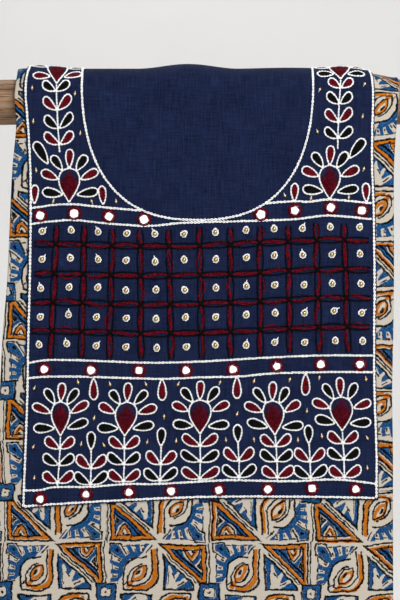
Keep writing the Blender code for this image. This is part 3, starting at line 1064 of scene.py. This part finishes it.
class Stitcher:
    """Sews the motifs, gathering each colour of thread as one mesh."""

    def __init__(self, names):
        self.random = Random(7)
        self.yarns = {name: Yarn() for name in names}

    def jitter(self, amount):
        return (self.random.random() - 0.5) * 2.0 * amount

    def chain(self, name, route, closed=False):
        """Chain stitch along a route (across, down) on the panel."""
        pitch, width = CHAINS[name]
        spots = [panel_frame(across + self.jitter(WANDER), down + self.jitter(WANDER))
                 for across, down in resampled(route, pitch, closed)]
        for index in range(len(spots) if closed else len(spots) - 1):
            here, _, _, outward = spots[index]
            there = spots[(index + 1) % len(spots)][0]
            along = (there - here).normalized()
            aside = outward.cross(along)
            wide = width * (1.0 + self.jitter(0.15))
            strand = wide * STRAND_SHARE
            tilt = self.jitter(0.10) + (0.07 if index % 2 else -0.07)
            loop = [(here + there) / 2 + along * (forward * (there - here).length)
                    + aside * ((side + tilt * forward) * wide) + outward * (lift * strand)
                    for forward, side, lift, _ in LINK_LOOP]
            self.yarns[name].tube(loop, outward, [strand * link[3] for link in LINK_LOOP], closed=True)

    def tube(self, name, path, outward, radii, closed=False):
        self.yarns[name].tube(path, outward, [radius * MM for radius in radii], closed)

    def thread(self, name, route, lifts, radii):
        """A thread over places on the panel, at a lift over each."""
        spots = [panel_frame(*spot) for spot in route]
        path = [middle + outward * lift * MM for (middle, _, _, outward), lift in zip(spots, lifts)]
        self.tube(name, path, spots[len(spots) // 2][3], radii)

    def fill_thread(self, colour, route, radius, lift):
        """One thread of a filled shape, tucked in at both ends."""
        inner = len(route) - 2
        thin = radius * TUCKED_SHARE
        lifts = [0.0, *[lift * (1.0 + self.jitter(0.25))] * inner, 0.0]
        self.thread(f"{colour}_fill", route, lifts, [thin, *[radius] * inner, thin])

    def outline(self, spot, steps):
        """Chain stitch round a shape, up one side of it and down the other."""
        route = [spot(step / steps, 1.0, OUTLINE_INSET) for step in range(steps)]
        route += [spot(step / steps, -1.0, OUTLINE_INSET) for step in range(steps, 0, -1)]
        self.chain("cream_motif", route, closed=True)

    def petal(self, base, tip, width, colour, bend=0.0):
        """A petal or leaf from its pointed base to its round tip, filled and outlined."""
        long, at = aligned(base, tip)

        def spot(share, side, inset):
            """A point at a share of the length, to one side by a share of the half width."""
            swell = petal_half_width(share) * (width / 2 - inset)
            arch = bend * 4.0 * share * (1.0 - share)
            return at(share * (long + 0.2 - 1.3 * inset) + inset * 0.3, side * swell + arch)

        self.outline(spot, PETAL_STEPS)
        for across in spaced(-0.94, 0.94, max(round((width - 2.8) / FILL_PITCH), 4)):
            side = across + self.jitter(0.03)
            start = 0.10 + 0.08 * abs(side) + self.jitter(0.02)
            end = 0.95 - 0.12 * side * side + self.jitter(0.02)
            route = [spot(share, side, FILL_INSET) for share in spaced(start, end, 5)]
            self.fill_thread(colour, route, *FILL_THREAD)

    def stem(self, start, end, sway):
        middle = ((start[0] + end[0]) / 2 + sway, (start[1] + end[1]) / 2)
        self.chain("cream_motif", metres(smoothed([start, middle, end])))

    def heart(self, tip, wide, lean, squat):
        """The lotus's heart: a teardrop on its point, filled with stitches that end in ragged spikes."""

        def spot(share, side, inset):
            swell = heart_half_width(share) * (wide / 2 - inset)
            rise = inset * 0.9 + share * (HEART["tall"] * squat - 1.9 * inset)
            return (tip[0] + side * swell + lean * rise) * MM, (tip[1] - rise) * MM

        self.outline(spot, HEART_STEPS)
        for side in spaced(-0.90, 0.90, HEART_UPRIGHTS):
            end = 0.84 - 0.26 * abs(side) ** 1.5 + self.jitter(0.05)
            route = [spot(share, side, FILL_INSET) for share in spaced(0.06, end, 5)]
            self.fill_thread("heart", route, *HEART_THREAD)
        for low in spaced(0.0, 1.0, HEART_SPIKES):
            for hand in (-1.0, 1.0):
                start = 0.03 + 0.58 * low + self.jitter(0.014)
                run = 0.30 + 0.05 * low + self.jitter(0.04)
                reach = (0.97 - 0.76 * low ** 2.0 + self.jitter(0.06)) * hand
                route = [spot(start + share * run, side, FILL_INSET) for share, side in (
                    (0.0, -0.14 * hand), (0.30, 0.26 * reach), (0.65, 0.70 * reach), (1.0, reach))]
                self.fill_thread("maroon", route, SPIKE_THREAD[0] + self.jitter(0.06), SPIKE_THREAD[1])

    def lotus(self, tip, wide=HEART["wide"], lean=0.0, turns=UNTURNED, swap=False, squat=1.0, reach=1.0):
        """A lotus standing on its tip: a heart and seven petals, all drawn in to a share of their height."""
        self.heart(tip, wide, lean, squat)
        for (from_right, from_up, to_right, to_up, width, colour), turn in zip(PETALS, turns):
            run_right, run_up = (to_right - from_right) * reach, to_up - from_up
            cosine, sine = cos(radians(turn)), sin(radians(turn))
            right = from_right + run_right * cosine - run_up * sine + self.jitter(0.4)
            up = from_up + run_right * sine + run_up * cosine + self.jitter(0.4)
            base = (tip[0] + from_right * wide / HEART["wide"] + lean * from_up, tip[1] - from_up * squat)
            end = (tip[0] + right + lean * up, tip[1] - up * squat)
            self.petal(base, end, width + self.jitter(0.3), OTHER_COLOUR[colour] if swap else colour)

    def leaf_pair(self, base, left, right, colour, wide=LEAF["wide"]):
        """Two leaves that meet on a stem, their lower sides fuller."""
        for tip, belly in ((left, -LEAF["belly"]), (right, LEAF["belly"])):
            self.petal(base, tip, wide + self.jitter(0.3), colour, belly)

    def flowering_stem(self, tip, foot, wide, lean, reach, turns):
        self.lotus(tip, wide, lean, turns)
        self.stem(tip, foot, 0.5)
        for share, left, left_up, right, right_up, colour in LOTUS_LEAVES:
            across, down = (a + share * (b - a) for a, b in zip(tip, foot))
            self.leaf_pair((across, down), (across + left * reach, down - left_up),
                           (across + right * reach, down - right_up), colour)

    def sprig(self, foot, lean):
        def at(up, right=0.0):
            return foot[0] + right + lean * up, foot[1] - up

        self.petal(at(BUD["from"]), at(BUD["to"]), BUD["wide"], "black")
        self.stem(at(BUD["from"]), foot, 0.4)
        for base_up, left, left_up, right, right_up, colour in SPRIG_LEAVES:
            self.leaf_pair(at(base_up), at(base_up + left_up, left), at(base_up + right_up, right), colour)

    def shoulder(self, layout):
        self.lotus(layout["lotus"])
        self.lotus(layout["crest_lotus"], **layout["crest_shape"])
        self.stem(layout["crest_lotus"], layout["stem_foot"], -0.6)
        for base, tip in layout["drops"]:
            self.petal(base, tip, DROP["shoulder_wide"], "maroon")
        self.petal(*layout["slant"], SLANT_WIDE, "black")
        for leaves in layout["leaves"]:
            self.leaf_pair(*leaves, LEAF["shoulder_wide"])

    def borders(self):
        """The lines of chain stitch along the panel's sides and hems and along its bands."""
        (_, _, _, front_inset), (_, _, _, back_inset) = HEM_BORDERS
        front = hem_down("panel_hem", 0.0) + front_inset
        back = hem_down("panel_back_hem", 0.0) + back_inset
        for name, inset in SIDE_BORDERS.items():
            foot = hem_down("panel_hem", edge(name, front)) + front_inset
            self.chain("cream_border", [(edge(name, down) + inset, down) for down in spaced(back, foot, 91)])
        for hem, left, right, inset in HEM_BORDERS:
            self.chain("cream_border", [(x, hem_down(hem, x) + inset) for x in spaced(left, right, 41)])
        for route in LINES.values():
            self.chain("cream_border", metres(smoothed(route)))

    def neckline(self):
        """A deep U in front, closed by a shallow one behind."""
        route = []
        power = 2.0 / NECK["power"]
        front, back = (-1.0, NECK["straight_to"], NECK["depth"]), (1.0, 0.0, -NECK["back_depth"])
        for hand, straight_to, depth in (front, back):
            for angle in spaced(0.0, pi, 61):
                wide = hand * NECK["half_width"] * cos(angle) * abs(cos(angle)) ** (power - 1.0)
                down = straight_to + (depth - straight_to) * sin(angle) ** power
                route.append((NECK["middle"] + wide, down))
        self.chain("cream_border", metres(route), closed=True)

    def lattice(self):
        """Laid threads down and across, with a knot over each crossing."""
        last = len(GRID_ROWS) - 1
        columns = []
        for top_across, foot_across, sag, top, foot in GRID_COLUMNS:
            across = spaced(top_across, foot_across, len(GRID_ROWS))
            spots = [(x, down + sag) for x, (down, _, _) in zip(across, GRID_ROWS)]
            columns.append(spots)
            lean = (foot_across - top_across) / last / GRID_ROW_PITCH
            self.laid_line([(top_across - lean * (spots[0][1] - top), top), *spots,
                            (foot_across + lean * (foot - spots[-1][1]), foot)])
        for row, (down, left, right) in enumerate(GRID_ROWS):
            spots = [column[row] for column in columns]
            ends = (left, down + self.jitter(0.5)), (right, down + GRID_COLUMNS[-1][2] + 0.4)
            self.laid_line([ends[0], *spots, ends[1]])
            for spot in spots:
                self.crossing(spot)

    def laid_line(self, spots):
        for start, end in zip(spots, spots[1:]):
            self.laid_stitch(start, end)

    def laid_stitch(self, start, end):
        """Maroon strands laid loosely between two crossings, with black back stitch on each side."""
        long, at = aligned(start, end)
        bow, sway = self.jitter(2.6), self.jitter(1.5)
        split = SPLIT if self.random.random() < SPLIT_CHANCE else 0.0
        for strand in range(STRANDS):
            spread = (strand - (STRANDS - 1) / 2) * STRAND_PITCH
            apart = split if spread > 0 else -split
            turn = 2.0 * pi * self.random.random()
            route = []
            for share in spaced(0.0, 1.0, STRAND_STEPS):
                swell = sin(pi * share)
                off = bow * swell ** 1.5 + sway * sin(2.0 * pi * share) + spread * (0.35 + 0.75 * swell)
                off += apart * swell ** 2 + 0.18 * sin(3.0 * 2.0 * pi * share + turn) * swell
                route.append(at(1.3 + share * (long - 2.6), off))
            lifts = [0.35 + 0.28 * (strand % 2)] * STRAND_STEPS
            thin = STRAND_RADIUS * TUCKED_SHARE
            self.thread("maroon_grid", route, lifts, [thin, *[STRAND_RADIUS] * (STRAND_STEPS - 2), thin])
        for side in (-1.0, 1.0):
            stitches = max(round(long / BACK_STITCH), 2)
            bulge = 1.1 + self.jitter(0.5)
            for stitch in range(stitches):
                route = []
                for part in BACK_STITCH_PARTS:
                    share = (stitch + part) / stitches
                    route.append(at(share * long, side * (1.9 + bulge * sin(pi * share)) + self.jitter(0.35)))
                self.thread("black_grid", route, BACK_STITCH_LIFTS, BACK_STITCH_RADII)

    def crossing(self, spot):
        """A black knot of crossed stitches that holds the laid threads."""
        middle, right, upward, outward = panel_frame(spot[0] * MM, spot[1] * MM)
        for number in range(KNOT_STITCHES):
            ray = swung(right, upward, pi * number / KNOT_STITCHES + self.jitter(0.15))
            reach, high = KNOT_REACH + self.jitter(0.5), 0.9 + 0.1 * number
            path = [middle + (ray * reach * share + outward * lift) * MM
                    for share, lift in ((-1.0, 0.1), (-0.5, high), (0.5, high), (1.0, 0.1))]
            self.tube("black_grid", path, outward, [KNOT_RADIUS] * len(path))

    def bead(self, name, middle, outward, lift, radius, **shape):
        self.yarns[name].ball(middle + outward * lift * MM, outward, radius * MM, **shape)

    def ringed_beads(self):
        for row, down in enumerate(BEAD_ROWS):
            share = row / (len(BEAD_ROWS) - 1)
            for top_across, foot_across, sag in BEAD_COLUMNS:
                across = top_across + share * (foot_across - top_across)
                self.ringed_bead(across + self.jitter(0.5), down + sag + self.jitter(0.9))

    def ringed_bead(self, across, down):
        """A gold bead in a ring of cream chain stitch with a short tail."""

        def away(spot, distance, angle):
            return spot[0] + distance * cos(angle), spot[1] - distance * sin(angle)

        turn = radians(75.0 + self.jitter(45.0))
        ring = []
        for step in range(LOOP_STEPS):
            swing = 2.0 * pi * step / LOOP_STEPS
            wide = LOOP_RADIUS + LOOP_POINT * max(cos(swing), 0.0) ** 8 + self.jitter(0.12)
            ring.append(away((across, down), wide, turn + swing))
        self.chain("bead_loops", metres(ring), closed=True)
        tail = LONG_TAIL if self.random.random() < 0.3 else SHORT_TAIL
        start = away((across, down), TAIL_START, turn)
        end = away(start, tail, turn + radians(self.jitter(30.0)))
        (root, _, _, facing), (tip, _, _, tip_facing) = (panel_frame(*spot) for spot in metres((start, end)))
        lift = facing * 0.6 * MM
        path = [root + lift, (root + tip) / 2 + lift, tip + tip_facing * 0.1 * MM]
        self.tube("bead_loops", path, facing, TAIL_RADII)
        middle, _, _, outward = panel_frame(across * MM, down * MM)
        self.bead("gold_beads", middle, outward, **GOLD_BEAD)

    def seed_bead(self, spot):
        """A small gold bead on a stitch of silver thread that shows beyond it."""
        middle, right, upward, outward = panel_frame(spot[0] * MM, spot[1] * MM)
        angle = radians(90.0 + self.jitter(28.0))
        hand = 1.0 if self.random.random() < 0.75 else -1.0
        ray = swung(right, upward, angle) * hand
        self.bead("seed_beads", middle, outward, **SEED_BEAD)
        path = [middle + (ray * along + outward * lift) * MM for along, lift, _ in SILVER_STITCH]
        self.tube("silver_stitches", path, outward, [radius for _, _, radius in SILVER_STITCH])

    def mirror_ring(self, node, outer, inner):
        """Buttonhole stitches that hold a mirror, with a purl edge round them."""
        low, high = (Vector(corner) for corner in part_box(node))
        centre = (low + high) / 2
        outward = mirror_facing([point.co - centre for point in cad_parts[node].data.vertices])
        upward = outward.cross(Vector((1.0, 0.0, 0.0))).normalized()
        if upward.z < 0:
            upward = -upward
        right = upward.cross(outward).normalized()
        base = centre - outward * RING_BASE * MM
        corners, turn = 3 + self.random.randrange(3), self.random.random()
        opening = inner + self.jitter(0.25)
        for stitch in range(RING_STITCHES):
            angle = 2.0 * pi * (stitch + self.jitter(0.25)) / RING_STITCHES
            ray, skew = swung(right, upward, angle), swung(upward, -right, angle) * 0.5
            flat = abs(sin(corners * (angle / 2.0 + pi * turn)))
            rim = opening + 0.35 - 0.60 * flat + self.jitter(0.14)
            path = [base + (ray * reach + outward * lift + skew * share) * MM for reach, lift, share in (
                (outer, 0.3, 0.0), (outer - 0.8, 1.5, 0.3), (rim + 0.7, 2.35, 0.7), (rim, 1.95, 1.0))]
            self.tube("mirror_rings", path, outward, RING_RADII)
        purl = []
        for step in range(PURL_STEPS):
            ray = swung(right, upward, 2.0 * pi * step / PURL_STEPS)
            purl.append(base + (ray * (outer + (0.15 if step % 2 else -0.1)) + outward * 0.55) * MM)
        self.tube("mirror_rings", purl, outward, [PURL_RADIUS] * PURL_STEPS, closed=True)


# --- The cloths ---
ROW_PITCH, CREST_ROW_PITCH = 0.0042, 0.0030
OUTER_COLUMNS, INNER_COLUMNS, PANEL_COLUMNS = 92, 26, 118
FOLD_STEPS = 7


def down_rows(front, back):
    """Lengths down from the front hem to the back hem, closer over the bar."""
    rows, down = [], front
    while down > back:
        rows.append(down)
        down -= CREST_ROW_PITCH if abs(down) < QUARTER + 0.01 else ROW_PITCH
    return [*rows, back]


def layer_points(layer, start, end, count, down, lift=0.0):
    """Points (across, height) along a layer."""
    return [(across, layer_height(layer, across, down) + lift) for across in spaced(start, end, count)]


def fold_points(middle_across, first_layer, second_layer, side, down):
    """The points round a fold between two layers."""
    first = layer_height(first_layer, middle_across, down)
    second = layer_height(second_layer, middle_across, down)
    middle, radius = (first + second) / 2, (first - second) / 2
    angles = [pi * (step + 1) / (FOLD_STEPS + 1) for step in range(FOLD_STEPS)]
    return [(middle_across + side * radius * sin(angle), middle + radius * cos(angle)) for angle in angles]


def folded_section(down):
    """The back-and-forth section of the three layers, from the outer one's right edge."""
    left, right = edge("cloth_left", down), edge("cloth_right", down)
    fold = left + (layer_height(2, left, down) - layer_height(1, left, down)) / 2
    return [*layer_points(2, right, fold, OUTER_COLUMNS, down),
            *fold_points(fold, 2, 1, -1.0, down),
            *layer_points(1, fold, INNER_FOLD, INNER_COLUMNS, down),
            *fold_points(INNER_FOLD, 1, 0, 1.0, down),
            *layer_points(0, INNER_FOLD, left + INNER_EDGE_INSET, INNER_COLUMNS, down)]


def panel_section(down):
    """The panel's section from right to left."""
    left, right = edge("panel_left", down), edge("panel_right", down)
    return layer_points(2, right, left, PANEL_COLUMNS, down, PANEL_LIFT)


def cloth_piece(name, section, front_hem, back_hem, finish):
    """A thin sheet through the sections, with its cloth coordinates as a UV map."""
    rows = down_rows(HEMS[front_hem]["down"], HEMS[back_hem]["down"])
    points, places = [], []
    for row in rows:
        profile = section(row)
        reach = [0.0]
        for before, after in zip(profile, profile[1:]):
            reach.append(reach[-1] + hypot(after[0] - before[0], after[1] - before[1]))
        zero = next(index for index, (across, _) in enumerate(profile) if across < 0.0)
        start = reach[zero] + profile[zero][0]
        for (across, height), run in zip(profile, reach):
            down = row + hem_shift(front_hem, across, row) + hem_shift(back_hem, across, row)
            points.append(place(across, down, height))
            places.append((start - run, down))
    piece = mesh_object(name, points, grid_faces(len(rows), len(points) // len(rows)), finish)
    layer = piece.data.uv_layers.new(name="cloth")
    for loop in piece.data.loops:
        layer.data[loop.index].uv = places[loop.vertex_index]
    solidify = piece.modifiers.new("thickness", "SOLIDIFY")
    solidify.thickness = SHEET_THICKNESS
    solidify.offset = 0.0
    solidify.use_even_offset = True
    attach(piece, "root")
    return piece


# --- The bar ---
BAR_ROUND, BAR_STEPS = 96, 150
BAR_BEVEL = 0.0016
# (along, angle, depth of the hollow)
KNOTS = ((0.045, 0.9, 0.0007), (0.075, 3.6, 0.0005), (0.545, 1.9, 0.0007), (0.565, 4.9, 0.0005))
# Unevenness of the turned surface: (depth, lobes, turn along the bar)
LOBES = ((0.00035, 3.0, 21.0), (0.0002, 5.0, -47.0))


def bar_dip(x, angle):
    """How far the bar's surface lies below its full radius."""
    dip = sum(depth * (1.0 + sin(lobes * angle + x * turn)) for depth, lobes, turn in LOBES)
    dip += 0.00012 * (1.0 + sin(11.0 * angle + 5.0 * sin(x * 30.0)))
    for knot_x, knot_angle, depth in KNOTS:
        turn = (angle - knot_angle + pi) % (2.0 * pi) - pi
        dip += depth * 0.8 * max(1.0 - hypot((x - knot_x) / 0.010, turn / 0.5), 0.0) ** 2
    return dip


def bar_piece(finish):
    """The pole, turned a little uneven, with soft hollows at its knots and a small bevel at its sawn ends."""
    points, faces = [], []
    for ring in range(BAR_STEPS + 1):
        x = BAR_LOW.x + BAR_LENGTH * ring / BAR_STEPS
        bevel = 0.0 if 0 < ring < BAR_STEPS else BAR_BEVEL
        for step in range(BAR_ROUND):
            angle = 2.0 * pi * step / BAR_ROUND
            radius = BAR_RADIUS - bar_dip(x, angle) - bevel
            points.append((x, radius * sin(angle), radius * cos(angle)))
    for ring in range(0, BAR_STEPS * BAR_ROUND, BAR_ROUND):
        for step in range(BAR_ROUND):
            here, after = ring + step, ring + (step + 1) % BAR_ROUND
            faces.append((here, here + BAR_ROUND, after + BAR_ROUND, after))
    faces.append(tuple(range(BAR_ROUND)))
    faces.append(tuple(range(len(points) - 1, len(points) - 1 - BAR_ROUND, -1)))
    piece = mesh_object("weathered_bar", points, faces, finish)
    piece.data.set_sharp_from_angle(angle=radians(50))
    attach(piece, "root")
    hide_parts("bar")
    return piece


# --- Stage, light and camera ---
PANEL_PLANE = -(BAR_RADIUS + 0.0105)
CAMERA_DISTANCE = 2.0
CAMERA_HEIGHT = -0.2014
FRAME_HEIGHT = 0.600
SENSOR = 36.0
FLOOR_GAP = 0.18             # from the part's lowest point to the floor
FLOOR_FRONT, FLOOR_BACK, FLOOR_HALF_WIDTH = -5.0, 3.60, 6.0
WALL_HEIGHT, SWEEP = 5.0, 1.2


def stage(finish):
    """A pale floor that sweeps up behind the object."""
    floor = cad_low.z - FLOOR_GAP
    profile = [(FLOOR_FRONT, floor)]
    profile += [(FLOOR_BACK - SWEEP + SWEEP * sin(angle), floor + SWEEP * (1.0 - cos(angle)))
                for angle in spaced(0.0, pi / 2, 9)]
    profile.append((FLOOR_BACK, floor + WALL_HEIGHT))
    points = [(CLOTH_MIDDLE + x, y, z) for y, z in profile for x in (-FLOOR_HALF_WIDTH, FLOOR_HALF_WIDTH)]
    floor_piece = mesh_object("studio_floor", points, grid_faces(len(profile), 2), finish)


def area_light(name, where, aim, size, power, colour=(1.0, 1.0, 1.0)):
    light = bpy.data.lights.new(name, "AREA")
    light.shape = "SQUARE"
    light.size = size
    light.energy = power
    light.color = colour
    lamp = linked(name, light)
    lamp.location = where
    lamp.rotation_euler = (Vector(aim) - Vector(where)).to_track_quat("-Z", "Y").to_euler()


def lights():
    """Soft daylight from the front right, a broad card behind the camera for the mirrors, a little light from
    behind, and a wash over the wall."""
    middle = (CLOTH_MIDDLE, 0.0, -0.2)
    area_light("key", (CLOTH_MIDDLE + 0.9, -1.9, 1.4), middle, 1.2, 64.0, (1.0, 0.99, 0.975))
    area_light("card", (CLOTH_MIDDLE, -3.3, -0.1), middle, 3.2, 42.0)
    area_light("back", (CLOTH_MIDDLE, 0.9, 1.6), middle, 1.6, 9.0)
    area_light("wash", (CLOTH_MIDDLE, 2.0, 2.4), (CLOTH_MIDDLE, 3.6, 0.0), 2.4, 40.0)
    world = bpy.data.worlds.new("studio")
    world.use_nodes = True
    sky = world.node_tree.nodes["Background"].inputs
    sky["Color"].default_value = (0.94, 0.95, 0.97, 1.0)
    sky["Strength"].default_value = 0.29
    bpy.context.scene.world = world


def camera():
    lens = bpy.data.cameras.new("camera")
    lens.sensor_fit = "VERTICAL"
    lens.sensor_height = SENSOR
    lens.lens = SENSOR * CAMERA_DISTANCE / FRAME_HEIGHT
    viewer = linked("camera", lens)
    viewer.location = (CLOTH_MIDDLE, PANEL_PLANE - CAMERA_DISTANCE, CAMERA_HEIGHT)
    viewer.rotation_euler = (pi / 2, 0.0, 0.0)
    bpy.context.scene.camera = viewer


# --- Putting it together ---
cad_low = Vector(cad_box[0])
stage(clouded_finish("pale_studio_floor", 0.004, 2.0, (0.78, 0.77, 0.755), (0.84, 0.835, 0.82), 0.9,
                     Specular_IOR_Level=0.1))
lights()
camera()
bpy.context.scene.view_settings.view_transform = "Standard"

bar_piece(wood_finish())
kalamkari = cloth_piece("kalamkari_folded_cloth", folded_section, "front_hem", "back_hem", kalamkari_finish())
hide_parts("kalamkari_cloth")
panel = cloth_piece("navy_yoke_panel", panel_section, "panel_hem", "panel_back_hem", navy_finish())
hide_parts("yoke_panel")

cream = thread_finish("cream_cotton_thread", (0.84, 0.84, 0.83), (1.0, 1.0, 0.99), 0.25, 0.8)
maroon = thread_finish("maroon_thread", (0.022, 0.0004, 0.0020), (0.152, 0.0030, 0.0125), 0.05, 2.6)
# The hearts' fill is a darker copy of the maroon thread: partly painted shade of the dense satin stitches,
# partly their texture.
shaded_maroon = thread_finish("maroon_thread_painted_shade", (0.012, 0.0004, 0.0018), (0.070, 0.0022, 0.0080), 0.06, 2.4)
black = thread_finish("black_thread", (0.0010, 0.0010, 0.0013), (0.0060, 0.0060, 0.0066), 0.03, 1.5)
gold = clouded_finish("gold_bead_metal", 0.8, 3.0, (0.32, 0.19, 0.045), (0.72, 0.49, 0.17), 0.10, 0.22,
                      Metallic=1.0)
silver = clouded_finish("silver_thread_metal", 1.4, 2.0, (0.45, 0.48, 0.52), (0.90, 0.92, 0.95), 0.2, 0.3,
                        Metallic=0.8)
# The small beads carry a brighter copy of the ringed beads' gold: painted light for their bright centres. The
# ringed beads' darker gold is partly painted shade from their rings.
lit_gold = clouded_finish("gold_bead_painted_light", 0.6, 2.0, (0.85, 0.48, 0.14), (1.0, 0.72, 0.33), 0.24,
                       Metallic=0.7, Specular_IOR_Level=0.8)
THREAD_FINISHES = {
    "cream_border": cream, "cream_motif": cream, "bead_loops": cream,
    "maroon_fill": maroon, "heart_fill": shaded_maroon, "maroon_grid": maroon, "mirror_rings": maroon,
    "black_fill": black, "black_grid": black, "gold_beads": gold, "seed_beads": lit_gold,
    "silver_stitches": silver,
}

mirror_glass = mirror_finish()
stitcher = Stitcher(THREAD_FINISHES)
for band, ring in RINGS.items():
    for number in range(1, MIRRORS_PER_BAND + 1):
        node = f"mirror_{band}_{number}"
        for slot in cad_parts[node].material_slots:
            slot.material = mirror_glass
        stitcher.mirror_ring(node, *ring)

stitcher.borders()
stitcher.neckline()
for layout in LOTUSES:
    stitcher.flowering_stem(*layout)
for layout in SPRIGS:
    stitcher.sprig(*layout)
for base in DROPS:
    stitcher.petal(base, (base[0] + stitcher.jitter(0.6), base[1] + DROP["long"]), DROP["wide"], "maroon")
for layout in SHOULDERS.values():
    stitcher.shoulder(layout)
stitcher.lattice()
stitcher.ringed_beads()
for spot in SEED_BEADS:
    stitcher.seed_bead(spot)
sewn = [stitcher.yarns[name].made(name, finish) for name, finish in THREAD_FINISHES.items()]
